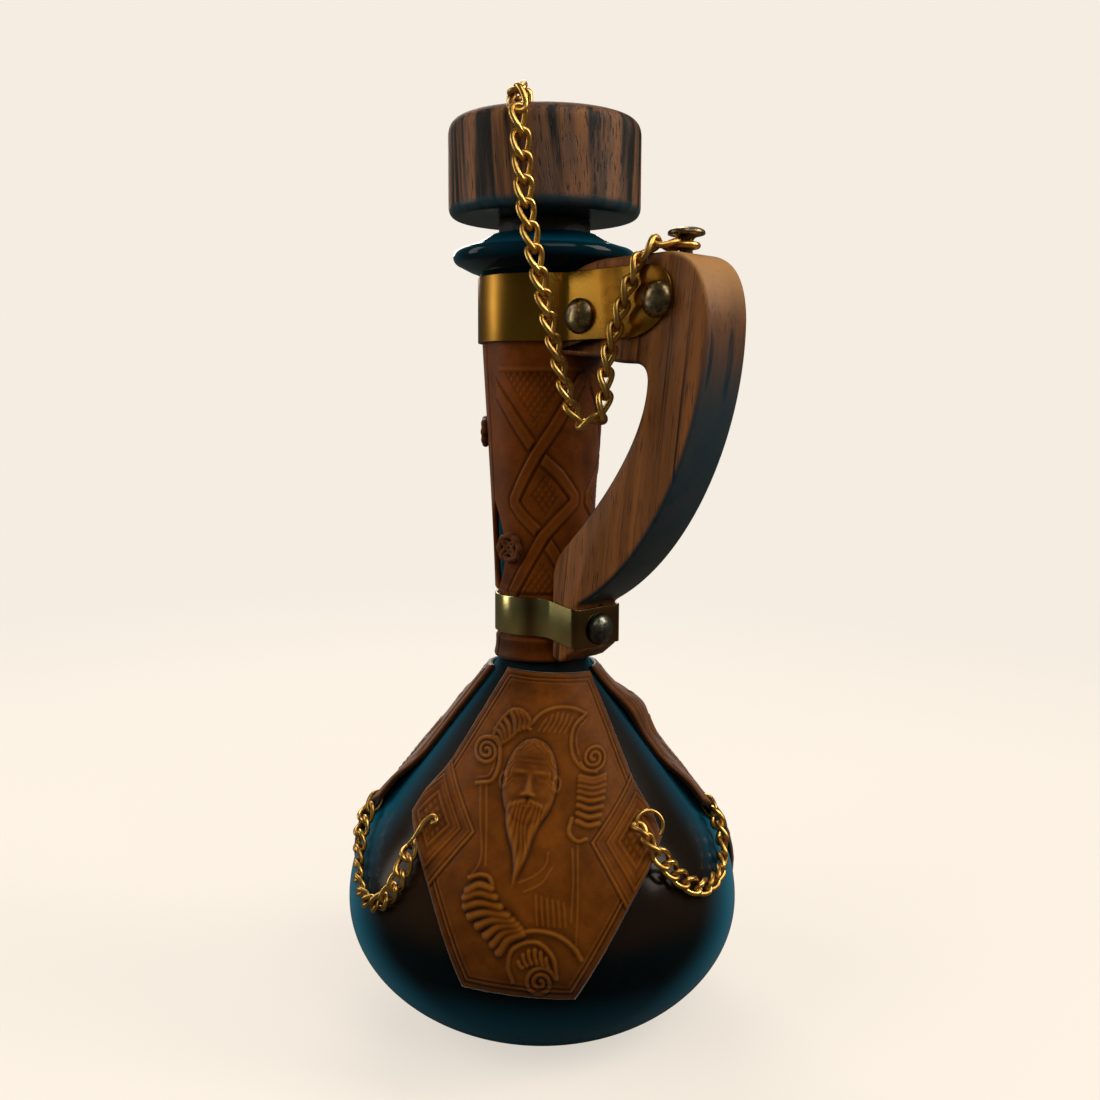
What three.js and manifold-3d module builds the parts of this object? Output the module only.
// Leather-wrapped glass decanter with a wooden handle, a stopper on a chain and chained leather panels.
// Millimetres, +Z up. The origin is the middle of the base, and the handle stands out along +X.

import * as THREE from 'three';
import { mergeVertices } from 'three/addons/utils/BufferGeometryUtils.js';
import Module from 'manifold-3d';

// Glass
const BASE_RADIUS = 28;
const BULB_RADIUS = 67.3;
const BULB_WIDEST_Z = 41;
const BULB_LOWER_RISE = 47.1;
const BULB_UPPER_RISE = 56;
const HEEL_Z = 2.8;
const SHOULDER_SLOPE = 0.8;
const NECK_FOOT_RADIUS = 14.2;
const NECK_FOOT_Z = 130;
const NECK_TOP_RADIUS = 19;
const NECK_TOP_Z = 248.5;
const NECK_SWEEP = { footRise: 32, topDraw: 1.3, topDrop: 40, straight: 12 };
const LIP_RADIUS = 30.3;
const LIP_Z = 258.3;
const LIP_EDGE = 2.65;
const MOUTH_Z = 266.2;
const BORE_RADIUS = 15.6;
const BORE_DEPTH = 26;
const GLASS_WALL = 3.4;

// Leather
const GAP = 0.3;
const SLEEVE_WALL = 1.7;
const SLEEVE_PINCH = 1.1;
const SLEEVE_BOTTOM_Z = 125;
const SLEEVE_TOP_Z = 248.4;
const SLIT_AZIMUTH = -113;
const SLIT_LOW_Z = 148.5;
const SLIT_HIGH_Z = 178;
const SLIT_HALF_WIDTH = 5;
const SLIT_SAG = 2;
const LACE_RADIUS = 4.1;
const LACE_WIRE = 1.1;
const LACE_PEG = { radius: 0.85, hole: 1.2, length: 3 };
const LACE_KNOT_RADIUS = 2;
const LACE_STRAP_RADIUS = 0.8;
const LACES = {
  sleeve_lace_upper: { azimuth: -140, z: 201 },
  sleeve_lace_lower: { azimuth: -83, z: 163 },
};
const PANEL_GAP = 0.5;
const PANEL_WALL = 1.7;
const PANEL_CORNER_Z = 75.4;
const PANEL_HALF_WIDTH = 43;
const PANEL_TOP = { rise: 58.6, halfWidth: 16.2 };
const PANEL_FOOT = { drop: 45, halfWidth: 17.5 };
const PANEL_CORNER_LIFT = 3;
const PANEL_CURL = { fromU: 24, toU: 41, fullS: 6, endS: 24 };
const PANEL_GRID = { across: 10, up: 14 };
const PANELS = {
  front: { azimuth: -48.5, lean: -4.1 },
  right: { azimuth: 71, lean: 0 },
  left: { azimuth: 195, lean: 0 },
};

// Handle and its brass
const HANDLE_THICKNESS = 20;
const HANDLE_EDGE = 1.4;
const HANDLE_TOP_Z = 255.2;
const HANDLE_REACH = 76;
const FOOT_FACE_X = 24.8;
const FOOT_BOTTOM_Z = 125.4;
const BRASS_WALL = 0.9;
const COLLAR_LOW_Z = 230.3;
const COLLAR_HIGH_Z = 251.8;
const COLLAR_REACH = 63.6;
const COLLAR_BEND = 2.5;
const COLLAR_END = { under: 14, over: 10, tipRise: 11.7 };
const BAND_LOW_Z = 133.8;
const BAND_HIGH_Z = 146.6;
const BAND_BEND = 2;
const BAND_CORNER = 1.6;
const BAND_DIP = 2.6;
const RIVET = { shank: 1.6, head: 5.6, rise: 3.1 };
const RIVET_SPOTS = { collar_rivet_inner: { x: 27, z: 237.7 }, collar_rivet_outer: { x: 58.4, z: 241.3 } };
const FOOT_NAIL = { z: 136.8, shank: 1.2, length: 7, head: 5.4, rise: 3.2 };
const NAIL_STEPS = 10;
const STUD = { x: 60, shank: 2, depth: 9, head: 5.7, neckRise: 4.4, headRise: 3.4 };

// Stopper
const CAP_RADIUS = 31.8;
const CAP_LOW_Z = 270.8;
const CAP_HIGH_Z = 303.8;
const CAP_LOW_EDGE = 4;
const CAP_HIGH_EDGE = 5.5;
const CAP_CROWN = 1.2;
const PLUG_RADIUS = 15.2;
const PLUG_TIP_RADIUS = 14.5;
const PLUG_LOW_Z = 243;
const DOWEL = { radius: 5, lowZ: 257, highZ: 286 };
const STOPPER_STEPS = 20;
const STAPLE = { azimuth: -62, radius: 26.6, span: 6.6, wire: 1.5, rise: 3.6, depth: 6 };

// Chains: outer width and wire of a link, how many links a run holds and the facets round its wire
const STOPPER_LINK = { width: 7, wire: 1.7, count: 24, sides: 4 };
const PANEL_LINK = { width: 6, wire: 1.4, count: 13, sides: 4 };
const LINK_STEPS = 8;
const LINK_TWIST = 45;
const LINK_WELD = 0.3;
const HOOK_BLEND = 3;
const HOOK_PLAY = 0.6;
const STUD_RING_RADIUS = 4;
const STUD_RING_RISE = 2.2;

// Rings in the panels' side corners: the hole's place in the hide, and in degrees how far the ring falls
// below level, how far it leans over and where, round it from its outer end, the chain's end link hangs
const CORNER_RING = { radius: 4.3, back: 2, wire: 1.25 };
const CORNERS = {
  corner_ring_front_a: { panel: 'front', side: -1, u: 34.5, s: -2.5, fall: 55, tilt: 8, seat: 8 },
  corner_ring_front_b: { panel: 'front', side: 1, u: 34.4, s: 2.7, fall: -16, tilt: 25, seat: 138 },
  corner_ring_right_a: { panel: 'right', side: -1, u: 36, s: 0, fall: 42, tilt: 0, seat: 14 },
  corner_ring_right_b: { panel: 'right', side: 1, u: 36, s: 0, fall: 40, tilt: 0, seat: 8 },
  corner_ring_left_a: { panel: 'left', side: -1, u: 36, s: 0, fall: 40, tilt: 0, seat: 8 },
  corner_ring_left_b: { panel: 'left', side: 1, u: 36, s: 0, fall: 45, tilt: 0, seat: 15 },
};

// Where each panel chain lies: azimuth, height and distance off the glass, in order
const PANEL_CHAINS = {
  panel_chain_right: {
    from: 'corner_ring_front_b',
    to: 'corner_ring_right_a',
    lie: [
      [-12.6, 71.8, 7.2], [-10.2, 67.8, 6.6], [-7, 64.8, 4.6], [-2.8, 61.4, 3], [1, 58.4, 2.8],
      [5, 57, 2.8], [10.6, 57.2, 2.8], [16, 58.6, 2.8], [21, 61.8, 3], [24.6, 65.8, 4],
    ],
  },
  panel_chain_back: {
    from: 'corner_ring_right_b',
    to: 'corner_ring_left_a',
    lie: [
      [116.5, 64, 3.6], [120, 60, 2.9], [125, 56.6, 2.8], [130.4, 55.4, 2.8], [135.6, 55.4, 2.8],
      [141, 56.6, 2.8], [146, 60, 2.9], [149.5, 64, 3.6],
    ],
  },
  panel_chain_left: {
    from: 'corner_ring_left_b',
    to: 'corner_ring_front_a',
    lie: [
      [-117, 65.6, 4], [-113, 61.6, 3], [-109.6, 57.8, 2.8], [-105.4, 54.2, 2.8], [-100, 51.4, 2.8],
      [-94, 52.4, 2.8], [-90.2, 56.4, 2.9], [-88.2, 60.6, 3.2], [-87, 64.6, 4.4],
    ],
  },
};
const STOPPER_CHAIN_ROUTE = [
  [31.2, -61.2, 305.6, 33], [34.4, -59, 300.4, 33], [34.6, -57.5, 293, 33], [34.5, -56, 282, 33],
  [34.4, -54.8, 271, 34],
].map(([r, azimuth, z, face]) => ({ point: polar(r, azimuth, z), face })).concat([
  [23, -26.4, 253, 38], [26.6, -24.7, 236, 48], [30.4, -23, 220, 66], [34.8, -21.6, 207, 90],
  [39.4, -19.6, 202, 113], [43, -18, 207, 125], [44, -17.1, 223, 145], [47.4, -15.8, 236.5, 162],
  [51.6, -15, 247.5, 165], [55.4, -13.2, 256.4, 160], [57.2, -8.6, 258.4, 158],
].map(([x, y, z, face]) => ({ point: new THREE.Vector3(x, y, z), face })));

const TURN_STEPS = 26;
const wasm = await Module();
wasm.setup();

function polar(radius, azimuth, z) {
  const angle = THREE.MathUtils.degToRad(azimuth);
  return new THREE.Vector3(radius * Math.cos(angle), radius * Math.sin(angle), z);
}

// Geometry to solid and back

function toSolid(geometry) {
  const bare = geometry.clone();
  bare.deleteAttribute('normal');
  bare.deleteAttribute('uv');
  const merged = mergeVertices(bare, 1e-4);
  const index = Array.from(merged.index.array);
  const corners = [];
  for (let i = 0; i < index.length; i += 3) {
    const [a, b, c] = index.slice(i, i + 3);
    if (a !== b && b !== c && c !== a) corners.push(a, b, c);
  }
  const make = (triVerts) => new wasm.Manifold(new wasm.Mesh({
    numProp: 3,
    vertProperties: Float32Array.from(merged.attributes.position.array),
    triVerts: Uint32Array.from(triVerts),
  }));
  const solid = make(corners);
  return solid.volume() > 0 ? solid : make(corners.reverse());
}

function toGeometry(solid) {
  const mesh = solid.getMesh();
  const geometry = new THREE.BufferGeometry();
  geometry.setAttribute('position', new THREE.BufferAttribute(Float32Array.from(mesh.vertProperties), 3));
  geometry.setIndex(new THREE.BufferAttribute(Uint32Array.from(mesh.triVerts), 1));
  geometry.computeVertexNormals();
  return geometry;
}

// A turned body: profile points are (radius, height), and the axis is +Z.
function turned(profile, steps = TURN_STEPS) {
  return new THREE.LatheGeometry(profile, steps).rotateX(Math.PI / 2);
}

// A flat outline drawn in X and Z and extruded along Y, centred on Y = 0.
function sideExtrude(shape, thickness, edge = 0) {
  const geometry = new THREE.ExtrudeGeometry(shape, {
    depth: thickness - 2 * edge,
    bevelEnabled: edge > 0,
    bevelThickness: edge,
    bevelSize: edge,
    bevelOffset: -edge,
    bevelSegments: 2,
    curveSegments: 6,
  });
  return geometry.translate(0, 0, edge - thickness / 2).rotateX(Math.PI / 2);
}

function round(radius) {
  const shape = new THREE.Shape();
  shape.absarc(0, 0, radius, 0, 2 * Math.PI, false);
  return shape;
}

// A closed ring of wire along a closed curve.
function wireLoop(curve, wire, steps, sides) {
  return toSolid(new THREE.TubeGeometry(curve, steps, wire / 2, sides, true));
}

function place(solid, matrix) {
  const geometry = toGeometry(solid).applyMatrix4(matrix);
  return toSolid(geometry);
}

// A drilled hole: a round bar along the given axis.
function bar(radius, from, to, steps = 12) {
  const along = new THREE.Vector3().subVectors(to, from);
  const geometry = new THREE.CylinderGeometry(radius, radius, along.length(), steps);
  const upright = new THREE.Vector3(0, 1, 0);
  geometry.applyQuaternion(new THREE.Quaternion().setFromUnitVectors(upright, along.clone().normalize()));
  geometry.translate(...from.clone().add(to).multiplyScalar(0.5).toArray());
  return toSolid(geometry);
}

// The glass outline, from the base up to the lip: a flat base, a rounded heel, two half ellipses,
// a straight shoulder that touches the upper ellipse, and a neck

function ellipseRadius(z, rise) {
  return BULB_RADIUS * Math.sqrt(1 - ((z - BULB_WIDEST_Z) / rise) ** 2);
}

function glassOutline() {
  const heelRadius = ellipseRadius(HEEL_Z, BULB_LOWER_RISE);
  const heelSlope = (BULB_RADIUS / BULB_LOWER_RISE) ** 2 * (BULB_WIDEST_Z - HEEL_Z) / heelRadius;
  const heel = new THREE.QuadraticBezierCurve(
    new THREE.Vector2(BASE_RADIUS, 0),
    new THREE.Vector2(heelRadius - heelSlope * HEEL_Z, 0),
    new THREE.Vector2(heelRadius, HEEL_Z),
  );
  const shoulderReach = Math.hypot(BULB_RADIUS, SHOULDER_SLOPE * BULB_UPPER_RISE);
  const lowAngle = Math.asin((HEEL_Z - BULB_WIDEST_Z) / BULB_LOWER_RISE);
  const highAngle = Math.asin(SHOULDER_SLOPE * BULB_UPPER_RISE / shoulderReach);
  const lower = new THREE.EllipseCurve(0, BULB_WIDEST_Z, BULB_RADIUS, BULB_LOWER_RISE, lowAngle, 0);
  const upper = new THREE.EllipseCurve(0, BULB_WIDEST_Z, BULB_RADIUS, BULB_UPPER_RISE, 0, highAngle);
  const meetZ = BULB_WIDEST_Z + (shoulderReach - NECK_FOOT_RADIUS) / SHOULDER_SLOPE;
  const bendStart = 2 * meetZ - NECK_FOOT_Z;
  const bend = new THREE.QuadraticBezierCurve(
    new THREE.Vector2(NECK_FOOT_RADIUS + SHOULDER_SLOPE * (meetZ - bendStart), bendStart),
    new THREE.Vector2(NECK_FOOT_RADIUS, meetZ),
    new THREE.Vector2(NECK_FOOT_RADIUS, NECK_FOOT_Z),
  );
  const neck = new THREE.CubicBezierCurve(
    new THREE.Vector2(NECK_FOOT_RADIUS, NECK_FOOT_Z),
    new THREE.Vector2(NECK_FOOT_RADIUS, NECK_FOOT_Z + NECK_SWEEP.footRise),
    new THREE.Vector2(NECK_TOP_RADIUS - NECK_SWEEP.topDraw, NECK_TOP_Z - NECK_SWEEP.topDrop),
    new THREE.Vector2(NECK_TOP_RADIUS, NECK_TOP_Z - NECK_SWEEP.straight),
  );
  return [
    ...heel.getPoints(2), ...lower.getPoints(5).slice(1), ...upper.getPoints(5).slice(1),
    ...bend.getPoints(4), ...neck.getPoints(4).slice(1), new THREE.Vector2(NECK_TOP_RADIUS, NECK_TOP_Z),
  ];
}

const GLASS_OUTLINE = glassOutline();

function outlineAt(points, z, from, to) {
  const found = points.findIndex((p) => p[from] >= z);
  const next = found < 0 ? points.length - 1 : Math.max(1, found);
  const a = points[next - 1];
  const b = points[next];
  return a[to] + (b[to] - a[to]) * (z - a[from]) / (b[from] - a[from]);
}

function glassRadius(z) {
  return outlineAt(GLASS_OUTLINE, z, 'y', 'x');
}

// The glass moved outwards or inwards along its own normal
function offsetOutline(points, distance) {
  return points.map((p, i) => {
    const before = points[Math.max(0, i - 1)];
    const after = points[Math.min(points.length - 1, i + 1)];
    const along = new THREE.Vector2().subVectors(after, before).normalize();
    return new THREE.Vector2(p.x + along.y * distance, p.y - along.x * distance);
  });
}

function glassBottle() {
  const lipTip = new THREE.Vector2(LIP_RADIUS - LIP_EDGE, LIP_Z);
  const flare = new THREE.QuadraticBezierCurve(
    new THREE.Vector2(NECK_TOP_RADIUS, NECK_TOP_Z),
    new THREE.Vector2(NECK_TOP_RADIUS + 0.1, LIP_Z - 6.1),
    new THREE.Vector2(lipTip.x - 3, LIP_Z - 4.5),
  );
  const edge = new THREE.EllipseCurve(lipTip.x, lipTip.y, LIP_EDGE, LIP_EDGE, -1.2, 1.15);
  const mouth = new THREE.QuadraticBezierCurve(
    new THREE.Vector2(BORE_RADIUS + 2, MOUTH_Z - 0.6),
    new THREE.Vector2(BORE_RADIUS, MOUTH_Z + 0.2),
    new THREE.Vector2(BORE_RADIUS, MOUTH_Z - 1.6),
  );
  const boreFloor = new THREE.Vector2(BORE_RADIUS, MOUTH_Z - BORE_DEPTH);
  const inside = offsetOutline(GLASS_OUTLINE, -GLASS_WALL).filter((p, i) => (
    i % 2 === 0 && p.y > GLASS_WALL && p.y < boreFloor.y - 2
  ));
  const floorZ = inside[0].y;
  const profile = [
    new THREE.Vector2(0, 0), ...GLASS_OUTLINE, ...flare.getPoints(3).slice(1), ...edge.getPoints(4),
    ...mouth.getPoints(2), boreFloor, ...inside.reverse(), new THREE.Vector2(0, floorZ),
  ];
  return toSolid(turned(profile));
}

// Leather sleeve round the neck, with a leaf-shaped opening where its seam doesn't meet

// The band's grip squeezes the leather thinner.
function sleeveRadius(z) {
  const intoBand = THREE.MathUtils.smoothstep(z, BAND_LOW_Z - 2, BAND_LOW_Z - 0.5);
  const outOfBand = THREE.MathUtils.smoothstep(z, BAND_HIGH_Z + 0.5, BAND_HIGH_Z + 2);
  const wall = SLEEVE_WALL - SLEEVE_PINCH * (intoBand - outOfBand);
  return Math.min(glassRadius(z), NECK_TOP_RADIUS - 0.05) + GAP + wall;
}

function sleeveProfile(inner, outer) {
  const bandEdges = [BAND_LOW_Z - 2, BAND_LOW_Z - 0.5, BAND_HIGH_Z + 0.5, BAND_HIGH_Z + 2];
  const inBand = (z) => z > BAND_LOW_Z - 3 && z < BAND_HIGH_Z + 3;
  const inSleeve = (z) => z > SLEEVE_BOTTOM_Z + 1 && z < SLEEVE_TOP_Z - 1;
  const between = GLASS_OUTLINE.map((p) => p.y).filter((z) => inSleeve(z) && !inBand(z));
  const heights = [SLEEVE_BOTTOM_Z, ...between, ...bandEdges, SLEEVE_TOP_Z];
  heights.sort((a, b) => a - b);
  const wallIn = heights.map((z) => new THREE.Vector2(inner(z), z));
  const wallOut = heights.map((z) => new THREE.Vector2(outer(z), z)).reverse();
  return [...wallIn, ...wallOut, wallIn[0].clone()];
}

// A frame standing on the outside of a turned surface: X is sideways, Y is up and Z points out.
function standOn(azimuth, radius, z) {
  const turn = new THREE.Matrix4().makeRotationZ(THREE.MathUtils.degToRad(azimuth));
  const stand = new THREE.Matrix4().makeBasis(
    new THREE.Vector3(0, 1, 0), new THREE.Vector3(0, 0, 1), new THREE.Vector3(1, 0, 0),
  );
  return turn.multiply(new THREE.Matrix4().makeTranslation(radius, 0, z)).multiply(stand);
}

function seamOpening() {
  const leaf = new THREE.Shape();
  const half = (SLIT_HIGH_Z - SLIT_LOW_Z) / 2;
  leaf.moveTo(0, -half);
  leaf.quadraticCurveTo(2 * SLIT_HALF_WIDTH, -SLIT_SAG, 0, half);
  leaf.quadraticCurveTo(-2 * SLIT_HALF_WIDTH, -SLIT_SAG, 0, -half);
  const cutter = new THREE.ExtrudeGeometry(leaf, { depth: 30, bevelEnabled: false, curveSegments: 6 });
  return toSolid(cutter.applyMatrix4(standOn(SLIT_AZIMUTH, 1, SLIT_LOW_Z + half)));
}

function laceHole(spot) {
  const reach = sleeveRadius(spot.z);
  const inner = polar(reach - SLEEVE_WALL - 0.1, spot.azimuth, spot.z);
  return bar(LACE_PEG.hole, inner, polar(reach + 1.5, spot.azimuth, spot.z), 8);
}

function neckSleeve() {
  let sleeve = toSolid(turned(sleeveProfile((z) => glassRadius(z) + GAP, sleeveRadius)));
  sleeve = sleeve.subtract(seamOpening());
  return Object.values(LACES).reduce((body, spot) => body.subtract(laceHole(spot)), sleeve);
}

// A lacing rosette: an eight-sided thong ring with a knot and a cross strap, on a peg through the leather.
function laceRosette(spot) {
  const rimCentre = LACE_WIRE + GAP;
  const shift = new THREE.Vector2(LACE_RADIUS, rimCentre);
  const ring = turned(round(LACE_WIRE).getPoints(4).map((p) => p.add(shift)), 8);
  const knot = new THREE.SphereGeometry(LACE_KNOT_RADIUS, 6, 4).scale(1, 1, 0.75);
  const strap = new THREE.CapsuleGeometry(LACE_STRAP_RADIUS, 2 * LACE_RADIUS - 1, 1, 6);
  const peg = new THREE.CylinderGeometry(LACE_PEG.radius, LACE_PEG.radius, LACE_PEG.length, 8);
  const lifted = [knot, strap].map((shape) => toSolid(shape.translate(0, 0, rimCentre)));
  const rosette = lifted.reduce((body, shape) => body.add(shape), toSolid(ring))
    .add(toSolid(peg.rotateX(Math.PI / 2)));
  return place(rosette, standOn(spot.azimuth, sleeveRadius(spot.z) + 0.1, spot.z));
}

// Leather panels: a six-sided hide bent over the bulb, its side corners lifted off the glass for rings

const MERIDIAN = GLASS_OUTLINE.reduce((list, p, i, all) => {
  const length = i === 0 ? 0 : list[i - 1].length + p.distanceTo(all[i - 1]);
  return [...list, { length, z: p.y }];
}, []);
const CORNER_LENGTH = outlineAt(MERIDIAN, PANEL_CORNER_Z, 'z', 'length');

function panelHalfWidth(s) {
  const end = s > 0 ? PANEL_TOP : PANEL_FOOT;
  const reach = s > 0 ? PANEL_TOP.rise : PANEL_FOOT.drop;
  return PANEL_HALF_WIDTH + (end.halfWidth - PANEL_HALF_WIDTH) * Math.abs(s) / reach;
}

// Hide coordinates to space: u runs round the bulb, s up along its outline, off away from the glass.
function onPanel(panel, u, s, off) {
  const lean = THREE.MathUtils.degToRad(panel.lean);
  const across = u * Math.cos(lean) - s * Math.sin(lean);
  const up = u * Math.sin(lean) + s * Math.cos(lean);
  const length = CORNER_LENGTH + up;
  const z = outlineAt(MERIDIAN, length, 'length', 'z');
  const below = outlineAt(MERIDIAN, length - 2, 'length', 'z');
  const above = outlineAt(MERIDIAN, length + 2, 'length', 'z');
  const rise = above - below;
  const spread = glassRadius(above) - glassRadius(below);
  const normal = new THREE.Vector2(rise, -spread).normalize();
  const radius = glassRadius(z);
  const azimuth = panel.azimuth + THREE.MathUtils.radToDeg(across / (radius + PANEL_WALL));
  return polar(radius + off * normal.x, azimuth, z + off * normal.y);
}

// The hide lies close to the glass and curls away from it at its side corners.
function panelLift(u, s) {
  const sideways = THREE.MathUtils.smoothstep(Math.abs(u), PANEL_CURL.fromU, PANEL_CURL.toU);
  const level = 1 - THREE.MathUtils.smoothstep(Math.abs(s), PANEL_CURL.fullS, PANEL_CURL.endS);
  return PANEL_GAP + PANEL_CORNER_LIFT * sideways * level;
}

function leatherPanel(panel) {
  const hide = new THREE.BoxGeometry(2, 2, 1, PANEL_GRID.across, PANEL_GRID.up, 1);
  const spots = hide.attributes.position;
  for (let i = 0; i < spots.count; i += 1) {
    const s = spots.getY(i) > 0 ? spots.getY(i) * PANEL_TOP.rise : spots.getY(i) * PANEL_FOOT.drop;
    const u = spots.getX(i) * panelHalfWidth(s);
    const off = panelLift(u, s) + (spots.getZ(i) + 0.5) * PANEL_WALL;
    spots.setXYZ(i, ...onPanel(panel, u, s, off).toArray());
  }
  const corners = Object.values(CORNERS).filter((corner) => PANELS[corner.panel] === panel);
  const holes = corners.map((corner) => cornerRing(corner, CORNER_RING.wire + 2 * GAP));
  return holes.reduce((body, hole) => body.subtract(hole), toSolid(hide));
}

// A frame at the hole in a panel's side corner: X runs to the ring's outer end, Z points out of the hide.
function cornerFrame({ panel, side, u, s, fall }) {
  const hide = PANELS[panel];
  const middle = panelLift(u, s) + PANEL_WALL / 2;
  const spot = onPanel(hide, side * u, s, middle);
  const outward = onPanel(hide, side * u, s, middle + 1).sub(spot).normalize();
  const sideways = onPanel(hide, side * (u + 1), s, middle).sub(spot).normalize();
  const down = new THREE.Vector3().crossVectors(sideways, outward).multiplyScalar(side);
  const angle = THREE.MathUtils.degToRad(fall);
  const reach = sideways.multiplyScalar(Math.cos(angle)).addScaledVector(down, Math.sin(angle));
  const across = new THREE.Vector3().crossVectors(outward, reach);
  return new THREE.Matrix4().makeBasis(reach, across, outward).setPosition(spot);
}

// The ring leaves through the hole and comes back round the edge, tilted over towards the top of the hide.
// Behind the hide it is pressed flatter, to lie clear of the glass.
class RingCurve extends THREE.Curve {
  constructor({ side, tilt }) {
    super();
    this.tilt = side * THREE.MathUtils.degToRad(tilt);
  }

  getPoint(t, target = new THREE.Vector3()) {
    const angle = 2 * Math.PI * t;
    const out = (t < 0.5 ? CORNER_RING.radius : CORNER_RING.back) * Math.sin(angle);
    const along = CORNER_RING.radius * (1 + Math.cos(angle));
    return target.set(along, out * Math.sin(this.tilt), out * Math.cos(this.tilt));
  }
}

function cornerRing(corner, wire = CORNER_RING.wire) {
  return place(wireLoop(new RingCurve(corner), wire, 12, 5), cornerFrame(corner));
}

// The spot on the ring that the chain's end link hangs from, and the way its wire runs there.
function ringSeat(corner) {
  const curve = new RingCurve(corner);
  const frame = cornerFrame(corner);
  return {
    spot: curve.getPoint(corner.seat / 360).applyMatrix4(frame),
    way: curve.getTangent(corner.seat / 360).transformDirection(frame),
  };
}

// Brass: a strap bent round the neck and on along the handle's flanks; grow moves it off its middle line

function strapSide(neck, flank, bend, grow) {
  const turn = Math.atan2(flank + bend, Math.sqrt((neck + bend) ** 2 - (flank + bend) ** 2));
  const bendX = (neck + bend) * Math.cos(turn);
  const roundNeck = new THREE.EllipseCurve(0, 0, neck + grow, neck + grow, -Math.PI, -turn);
  const outward = new THREE.EllipseCurve(
    bendX, -flank - bend, bend - grow, bend - grow, Math.PI - turn, Math.PI / 2, true,
  );
  return [...roundNeck.getPoints(14), ...outward.getPoints(4).slice(1)];
}

function mirrored(points) {
  return points.map((p) => new THREE.Vector2(p.x, -p.y)).reverse();
}

function upperCollar() {
  const neck = sleeveRadius(COLLAR_HIGH_Z) + GAP + BRASS_WALL / 2;
  const flank = HANDLE_THICKNESS / 2 + GAP + BRASS_WALL / 2;
  const line = (grow) => {
    const tip = new THREE.Vector2(COLLAR_REACH + 2, -flank - grow);
    const near = [...strapSide(neck, flank, COLLAR_BEND, grow), tip];
    return [...mirrored(near), ...near.slice(1)];
  };
  const plan = new THREE.Shape([...line(BRASS_WALL / 2), ...line(-BRASS_WALL / 2).reverse()]);
  const depth = COLLAR_HIGH_Z - COLLAR_LOW_Z;
  const strip = new THREE.ExtrudeGeometry(plan, { depth, bevelEnabled: false });
  const ends = new THREE.Shape();
  const underX = COLLAR_REACH - COLLAR_END.under;
  const overX = COLLAR_REACH - COLLAR_END.over;
  ends.moveTo(-COLLAR_REACH, COLLAR_LOW_Z - 1);
  ends.lineTo(underX, COLLAR_LOW_Z - 1);
  ends.lineTo(underX, COLLAR_LOW_Z);
  ends.quadraticCurveTo(
    COLLAR_REACH - 3, COLLAR_LOW_Z + 3.2, COLLAR_REACH, COLLAR_LOW_Z + COLLAR_END.tipRise,
  );
  ends.quadraticCurveTo(COLLAR_REACH + 0.7, COLLAR_HIGH_Z - 0.8, overX, COLLAR_HIGH_Z);
  ends.lineTo(overX, COLLAR_HIGH_Z + 1);
  ends.lineTo(-COLLAR_REACH, COLLAR_HIGH_Z + 1);
  const body = toSolid(strip.translate(0, 0, COLLAR_LOW_Z)).intersect(toSolid(sideExtrude(ends, 80)));
  return rivetHoles(body);
}

function lowerBand() {
  const neck = sleeveRadius(BAND_HIGH_Z) + GAP + BRASS_WALL / 2;
  const flank = HANDLE_THICKNESS / 2 + GAP + BRASS_WALL / 2;
  const end = FOOT_FACE_X + GAP + BRASS_WALL / 2;
  const line = (grow) => {
    const corner = new THREE.EllipseCurve(
      end - BAND_CORNER, BAND_CORNER - flank, BAND_CORNER + grow, BAND_CORNER + grow, -Math.PI / 2, 0,
    );
    const side = strapSide(neck, flank, BAND_BEND, grow);
    const flankEnd = new THREE.LineCurve(side[side.length - 1], corner.getPoint(0));
    const near = [...side, ...flankEnd.getPoints(3).slice(1, -1), ...corner.getPoints(3)];
    return [...near, ...mirrored(near).slice(0, -1)];
  };
  const plan = new THREE.Shape(line(BRASS_WALL / 2));
  plan.holes.push(new THREE.Path(line(-BRASS_WALL / 2)));
  const band = new THREE.ExtrudeGeometry(plan, { depth: BAND_HIGH_Z - BAND_LOW_Z, bevelEnabled: false });
  const spots = band.translate(0, 0, BAND_LOW_Z).attributes.position;
  for (let i = 0; i < spots.count; i += 1) {
    spots.setZ(i, spots.getZ(i) - BAND_DIP * THREE.MathUtils.smoothstep(spots.getX(i), 8, end + 2));
  }
  const nailFrom = new THREE.Vector3(end - 3, 0, FOOT_NAIL.z);
  const nailTo = new THREE.Vector3(end + 3, 0, FOOT_NAIL.z);
  return toSolid(band).subtract(bar(FOOT_NAIL.shank + GAP, nailFrom, nailTo));
}

// Handle: one plank, sawn to a bow with a flat arm at the top and a foot that saddles the neck

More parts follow.
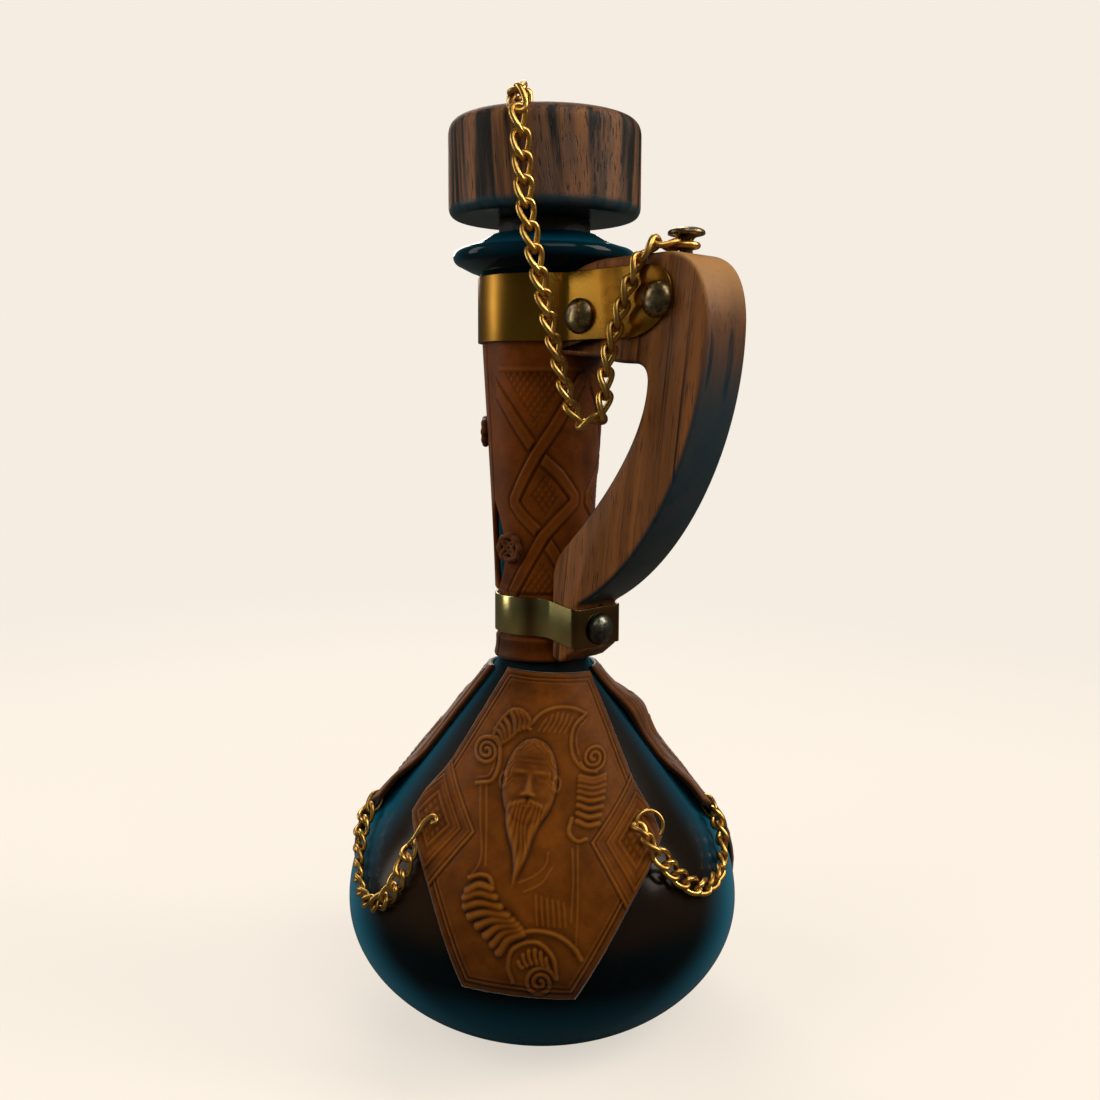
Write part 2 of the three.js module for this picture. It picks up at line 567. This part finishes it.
function handleOutline() {
  const outline = new THREE.Shape();
  outline.moveTo(20.4, HANDLE_TOP_Z - 4.6);
  outline.quadraticCurveTo(26, HANDLE_TOP_Z - 1, 36, HANDLE_TOP_Z - 0.3);
  outline.lineTo(HANDLE_REACH - 16, HANDLE_TOP_Z);
  outline.quadraticCurveTo(HANDLE_REACH - 0.5, HANDLE_TOP_Z - 0.2, HANDLE_REACH, HANDLE_TOP_Z - 20);
  outline.bezierCurveTo(HANDLE_REACH, 201, 57, 163, FOOT_FACE_X + 2.4, 146.4);
  outline.quadraticCurveTo(FOOT_FACE_X, 145.2, FOOT_FACE_X, 144.2);
  outline.lineTo(FOOT_FACE_X, FOOT_BOTTOM_Z + 5.2);
  outline.lineTo(FOOT_FACE_X - 5, FOOT_BOTTOM_Z + 1.2);
  outline.lineTo(FOOT_FACE_X - 8, FOOT_BOTTOM_Z);
  outline.lineTo(FOOT_FACE_X - 11, FOOT_BOTTOM_Z + 1.6);
  outline.lineTo(FOOT_FACE_X - 11, 154.5);
  outline.quadraticCurveTo(FOOT_FACE_X - 10, 160.6, 21, 165.8);
  outline.bezierCurveTo(36, 180.5, 52.5, 200, 53.3, 217);
  outline.quadraticCurveTo(53.4, 222.6, 47.5, 222.6);
  outline.quadraticCurveTo(40, 222.8, 35, 224.5);
  outline.lineTo(20.4, 225.8);
  return outline;
}

function rivetHoles(body) {
  return Object.values(RIVET_SPOTS).reduce((left, { x, z }) => left.subtract(bar(
    RIVET.shank + GAP, new THREE.Vector3(x, -20, z), new THREE.Vector3(x, 20, z),
  )), body);
}

function woodenHandle() {
  const plank = toSolid(sideExtrude(handleOutline(), HANDLE_THICKNESS, HANDLE_EDGE));
  const room = toSolid(turned(sleeveProfile(() => 1, (z) => sleeveRadius(z) + GAP)));
  const topRoom = bar(
    sleeveRadius(SLEEVE_TOP_Z) + GAP, polar(0, 0, SLEEVE_TOP_Z - 1), polar(0, 0, MOUTH_Z), TURN_STEPS,
  );
  const nailHole = bar(
    FOOT_NAIL.shank + GAP,
    new THREE.Vector3(FOOT_FACE_X + 1 - FOOT_NAIL.length - 2 * GAP, 0, FOOT_NAIL.z),
    new THREE.Vector3(FOOT_FACE_X + 5, 0, FOOT_NAIL.z),
  );
  const studHole = bar(
    STUD.shank + GAP, new THREE.Vector3(STUD.x, 0, HANDLE_TOP_Z - STUD.depth - GAP),
    new THREE.Vector3(STUD.x, 0, HANDLE_TOP_Z + 5),
  );
  return rivetHoles(plank.subtract(room).subtract(topRoom)).subtract(nailHole).subtract(studHole);
}

// Nails and rivets: a dome of the given rise, drawn as (radius, height) from its rim to its crown

function dome(head, rise, baseZ) {
  return new THREE.EllipseCurve(0, baseZ, head, rise, 0, Math.PI / 2).getPoints(4);
}

// A rivet through the collar and the arm, set to a dome at both ends.
function throughRivet({ x, z }) {
  const seat = HANDLE_THICKNESS / 2 + BRASS_WALL + 2 * GAP;
  const half = [new THREE.Vector2(RIVET.shank, seat), ...dome(RIVET.head, RIVET.rise, seat)];
  const profile = [...half.map((p) => new THREE.Vector2(p.x, -p.y)).reverse(), ...half];
  return turned(profile, NAIL_STEPS).rotateX(Math.PI / 2).translate(x, 0, z);
}

function footNail() {
  const seat = FOOT_FACE_X + BRASS_WALL + 2 * GAP;
  const tip = seat - FOOT_NAIL.length - BRASS_WALL;
  const profile = [
    new THREE.Vector2(0, tip), new THREE.Vector2(FOOT_NAIL.shank, tip + 2),
    new THREE.Vector2(FOOT_NAIL.shank, seat),
    ...dome(FOOT_NAIL.head, FOOT_NAIL.rise, seat),
  ];
  return turned(profile, NAIL_STEPS).rotateY(Math.PI / 2).translate(0, 0, FOOT_NAIL.z);
}

function chainStud() {
  const headZ = HANDLE_TOP_Z + STUD.neckRise;
  const tipZ = HANDLE_TOP_Z - STUD.depth;
  const profile = [
    new THREE.Vector2(0, tipZ), new THREE.Vector2(STUD.shank, tipZ + 3),
    new THREE.Vector2(STUD.shank, headZ), new THREE.Vector2(STUD.head - 1, headZ + 0.8),
    new THREE.Vector2(STUD.head, headZ + 1.5), ...dome(STUD.head - 0.4, STUD.headRise - 2, headZ + 2),
  ];
  return turned(profile, NAIL_STEPS).translate(STUD.x, 0, 0);
}

// Stopper: a turned cap and a cork plug on a hidden dowel, with a wire staple for the chain

function stopperCap() {
  const lowEdge = new THREE.QuadraticBezierCurve(
    new THREE.Vector2(CAP_RADIUS - CAP_LOW_EDGE, CAP_LOW_Z), new THREE.Vector2(CAP_RADIUS, CAP_LOW_Z),
    new THREE.Vector2(CAP_RADIUS, CAP_LOW_Z + CAP_LOW_EDGE),
  );
  const shoulderZ = CAP_HIGH_Z - CAP_CROWN;
  const highEdge = new THREE.QuadraticBezierCurve(
    new THREE.Vector2(CAP_RADIUS, shoulderZ - CAP_HIGH_EDGE), new THREE.Vector2(CAP_RADIUS, shoulderZ),
    new THREE.Vector2(CAP_RADIUS - CAP_HIGH_EDGE, shoulderZ),
  );
  const crown = new THREE.QuadraticBezierCurve(
    new THREE.Vector2(CAP_RADIUS - CAP_HIGH_EDGE, shoulderZ), new THREE.Vector2(CAP_RADIUS / 2, CAP_HIGH_Z),
    new THREE.Vector2(0, CAP_HIGH_Z),
  );
  const socket = DOWEL.highZ + GAP;
  const profile = [
    new THREE.Vector2(0, socket), new THREE.Vector2(DOWEL.radius + GAP, socket),
    new THREE.Vector2(DOWEL.radius + GAP, CAP_LOW_Z),
    ...lowEdge.getPoints(3), ...highEdge.getPoints(4), ...crown.getPoints(3).slice(1),
  ];
  const holeRadius = STAPLE.wire / 2 + GAP + 0.1;
  const legs = staplePath(STAPLE.depth + GAP).map((leg) => bar(holeRadius, leg.foot, leg.top, 8));
  return legs.reduce((body, leg) => body.subtract(leg), toSolid(turned(profile, STOPPER_STEPS)));
}

function stopperPlug() {
  const topZ = CAP_LOW_Z - GAP;
  const hole = DOWEL.radius + GAP;
  const floorZ = DOWEL.lowZ - GAP;
  const profile = [
    [0, PLUG_LOW_Z], [PLUG_TIP_RADIUS - 1, PLUG_LOW_Z], [PLUG_TIP_RADIUS, PLUG_LOW_Z + 1],
    [PLUG_RADIUS, topZ - 4], [PLUG_RADIUS, topZ], [hole, topZ], [hole, floorZ], [0, floorZ],
  ].map(([r, z]) => new THREE.Vector2(r, z));
  return turned(profile, STOPPER_STEPS);
}

function stopperDowel() {
  const { radius, lowZ, highZ } = DOWEL;
  const profile = [
    [0, lowZ], [radius - 1, lowZ], [radius, lowZ + 1],
    [radius, highZ - 1], [radius - 1, highZ], [0, highZ],
  ].map(([r, z]) => new THREE.Vector2(r, z));
  return turned(profile, 16);
}

// The two legs of the staple, from their tips in the wood up to its crown.
function staplePath(depth) {
  const middle = polar(STAPLE.radius, STAPLE.azimuth, 0);
  const sideways = polar(1, STAPLE.azimuth + 90, 0);
  return [-1, 1].map((side) => {
    const leg = middle.clone().addScaledVector(sideways, side * STAPLE.span / 2);
    const woodZ = CAP_HIGH_Z - CAP_CROWN;
    return { foot: leg.clone().setZ(woodZ - depth), top: leg.clone().setZ(woodZ + STAPLE.rise) };
  });
}

function capStaple() {
  const [a, b] = staplePath(STAPLE.depth);
  const bendRoom = new THREE.Vector3(0, 0, 1.6);
  const crownA = a.top.clone().lerp(b.top, 0.22);
  const crownB = a.top.clone().lerp(b.top, 0.78);
  const path = new THREE.CurvePath();
  path.add(new THREE.LineCurve3(a.foot, a.top.clone().sub(bendRoom)));
  path.add(new THREE.QuadraticBezierCurve3(a.top.clone().sub(bendRoom), a.top, crownA));
  path.add(new THREE.LineCurve3(crownA, crownB));
  path.add(new THREE.QuadraticBezierCurve3(crownB, b.top, b.top.clone().sub(bendRoom)));
  path.add(new THREE.LineCurve3(b.top.clone().sub(bendRoom), b.foot));
  const smooth = new THREE.CatmullRomCurve3(path.getPoints(3), false, 'centripetal');
  const bend = { extrudePath: smooth, steps: 12, curveSegments: 3 };
  return new THREE.ExtrudeGeometry(round(STAPLE.wire / 2), bend);
}

// Chains: twisted oval links, each welded to the next where they bear on each other

// One link's middle line: a stadium along X, twisted about X so that its two ends lean opposite ways.
class LinkCurve extends THREE.Curve {
  constructor(halfLength, halfWidth) {
    super();
    this.halfLength = halfLength;
    this.halfWidth = halfWidth;
  }

  getPoint(t, target = new THREE.Vector3()) {
    const angle = 2 * Math.PI * t;
    const straight = this.halfLength - this.halfWidth;
    const x = straight * Math.tanh(3 * Math.cos(angle)) + this.halfWidth * Math.cos(angle);
    const y = this.halfWidth * Math.sin(angle);
    const twist = THREE.MathUtils.degToRad(LINK_TWIST) * x / this.halfLength;
    return target.set(x, y * Math.cos(twist), y * Math.sin(twist));
  }
}

// Rigid links bear on each other a fixed straight distance apart, so a run is stepped off in equal chords.
function bearings(track, chord, count) {
  const spots = [0];
  track.forEach((point, index) => {
    const last = track[spots[spots.length - 1]];
    if (spots.length <= count && point.distanceTo(last) >= chord) spots.push(index);
  });
  return spots;
}

// The way an end link's width points when its bow stands square to the wire it hooks; end is -1 or 1.
function hookedWidth(along, wireWay, end) {
  const square = wireWay.clone().addScaledVector(along, -wireWay.dot(along)).normalize();
  const width = new THREE.Vector3().crossVectors(square, along).addScaledVector(square, -end);
  return width.normalize();
}

// faceAt gives the way a link's width points, from how far along the run it is and where.
// hooks are the ways of the wires that the first link and, if given, the last link hold.
function linkRun(route, faceAt, link, hooks) {
  const track = route.getSpacedPoints(4000);
  let pitch = 0;
  for (let step = route.getLength() / link.count; step > 1e-3; step /= 2) {
    if (bearings(track, pitch + step, link.count).length > link.count) pitch += step;
  }
  const halfLength = (pitch + link.wire - LINK_WELD) / 2;
  const line = new LinkCurve(halfLength, (link.width - link.wire) / 2);
  const loop = wireLoop(line, link.wire, LINK_STEPS, link.sides);
  const spots = bearings(track, pitch, link.count);
  const links = spots.slice(1).map((index, i) => {
    const from = track[spots[i]];
    const to = track[index];
    const middle = from.clone().lerp(to, 0.5);
    const along = to.clone().sub(from).normalize();
    const face = faceAt((spots[i] + index) / 2 / (track.length - 1), along, middle);
    const width = face.addScaledVector(along, -face.dot(along)).normalize();
    hooks.forEach((wireWay, which) => {
      const linksOff = which === 0 ? i : link.count - 1 - i;
      const hooked = hookedWidth(along, wireWay, which === 0 ? -1 : 1);
      if (hooked.dot(width) < 0) hooked.negate();
      width.lerp(hooked, Math.max(0, 1 - linksOff / HOOK_BLEND)).normalize();
    });
    const depth = new THREE.Vector3().crossVectors(along, width);
    return place(loop, new THREE.Matrix4().makeBasis(along, width, depth).setPosition(middle));
  });
  return links.reduce((chain, next) => chain.add(next));
}

// How far behind the middle of a wire of this thickness the link hooked round it bears.
function hookBack(wire) {
  return wire / 2 + HOOK_PLAY + LINK_WELD / 2;
}

function stopperChain() {
  const stops = STOPPER_CHAIN_ROUTE.map((stop) => stop.point);
  const [a, b] = staplePath(0);
  const crown = a.top.clone().lerp(b.top, 0.5);
  const pull = stops[0].clone().sub(crown).normalize();
  const start = crown.addScaledVector(pull, -hookBack(STAPLE.wire));
  const leave = stops[stops.length - 1].clone().sub(new THREE.Vector3(STUD.x, 0, 0)).setZ(0).normalize();
  const ringZ = HANDLE_TOP_Z + STUD_RING_RISE;
  const play = STUD_RING_RADIUS - STOPPER_LINK.wire / 2 - STUD.shank - GAP;
  const ringMiddle = new THREE.Vector3(STUD.x, 0, ringZ).addScaledVector(leave, play);
  const end = ringMiddle.clone().addScaledVector(leave, STUD_RING_RADIUS - STOPPER_LINK.wire / 2);
  const route = new THREE.CatmullRomCurve3([start, ...stops, end], false, 'centripetal');
  const faces = STOPPER_CHAIN_ROUTE.map((stop) => stop.face);
  const headings = [faces[0], ...faces, faces[faces.length - 1]];
  const faceAt = (u) => {
    const at = route.getUtoTmapping(u) * (headings.length - 1);
    const low = Math.min(Math.floor(at), headings.length - 2);
    return polar(1, THREE.MathUtils.lerp(headings[low], headings[low + 1], at - low), 0);
  };
  const ring = new THREE.TorusGeometry(STUD_RING_RADIUS, STOPPER_LINK.wire / 2, 5, 12);
  ring.translate(...ringMiddle.toArray());
  return linkRun(route, faceAt, STOPPER_LINK, [b.top.clone().sub(a.top)]).add(toSolid(ring));
}

// The way straight out of the glass at a spot on or above it.
function outOfGlass(spot) {
  const slope = (glassRadius(spot.z + 1) - glassRadius(spot.z - 1)) / 2;
  return polar(1, THREE.MathUtils.radToDeg(Math.atan2(spot.y, spot.x)), -slope).normalize();
}

// A panel chain hangs from one corner ring to the next and lies on the bulb between them.
function panelChain({ from, to, lie }) {
  const seats = [ringSeat(CORNERS[from]), ringSeat(CORNERS[to])];
  const lying = lie.map(([azimuth, z, off]) => {
    const touch = polar(glassRadius(z), azimuth, z);
    return touch.addScaledVector(outOfGlass(touch), off);
  });
  const [start, end] = [lying[0], lying[lying.length - 1]].map((next, which) => {
    const pull = next.clone().sub(seats[which].spot).normalize();
    return seats[which].spot.clone().addScaledVector(pull, -hookBack(CORNER_RING.wire));
  });
  const route = new THREE.CatmullRomCurve3([start, ...lying, end], false, 'centripetal');
  const flat = (u, along, spot) => new THREE.Vector3().crossVectors(outOfGlass(spot), along);
  return linkRun(route, flat, PANEL_LINK, seats.map((seat) => seat.way));
}

// The assembly

const decanter = new THREE.Group();

function add(name, shape, color, roughness, metalness) {
  const geometry = shape.isBufferGeometry ? shape : toGeometry(shape);
  const mesh = new THREE.Mesh(geometry, new THREE.MeshStandardMaterial({ color, roughness, metalness }));
  mesh.name = name;
  decanter.add(mesh);
}

add('glass_bottle', glassBottle(), 0x101a1c, 0.08, 0);
add('neck_sleeve', neckSleeve(), 0x4a2710, 0.5, 0);
Object.entries(LACES).forEach(([name, spot]) => add(name, laceRosette(spot), 0x6b4a33, 0.6, 0));
Object.entries(PANELS).forEach(([side, panel]) => {
  add(`leather_panel_${side}`, leatherPanel(panel), 0x7a4a1e, 0.5, 0);
});
Object.entries(CORNERS).forEach(([name, corner]) => add(name, cornerRing(corner), 0xb98f3a, 0.3, 1));
Object.entries(PANEL_CHAINS).forEach(([name, chain]) => add(name, panelChain(chain), 0xb98f3a, 0.3, 1));
add('handle', woodenHandle(), 0x5e3a22, 0.45, 0);
add('upper_collar', upperCollar(), 0xb5851c, 0.28, 1);
add('lower_band', lowerBand(), 0x8a8046, 0.3, 1);
Object.entries(RIVET_SPOTS).forEach(([name, spot]) => add(name, throughRivet(spot), 0x6e5a3c, 0.35, 1));
add('foot_nail', footNail(), 0x4a4034, 0.4, 1);
add('chain_stud', chainStud(), 0x4c3a2c, 0.45, 1);
add('stopper_cap', stopperCap(), 0x54362a, 0.5, 0);
add('stopper_plug', stopperPlug(), 0x2c2a24, 0.8, 0);
add('stopper_dowel', stopperDowel(), 0xa98a5c, 0.7, 0);
add('cap_staple', capStaple(), 0x8a6a2c, 0.35, 1);
add('stopper_chain', stopperChain(), 0xc39426, 0.28, 1);

export default decanter;
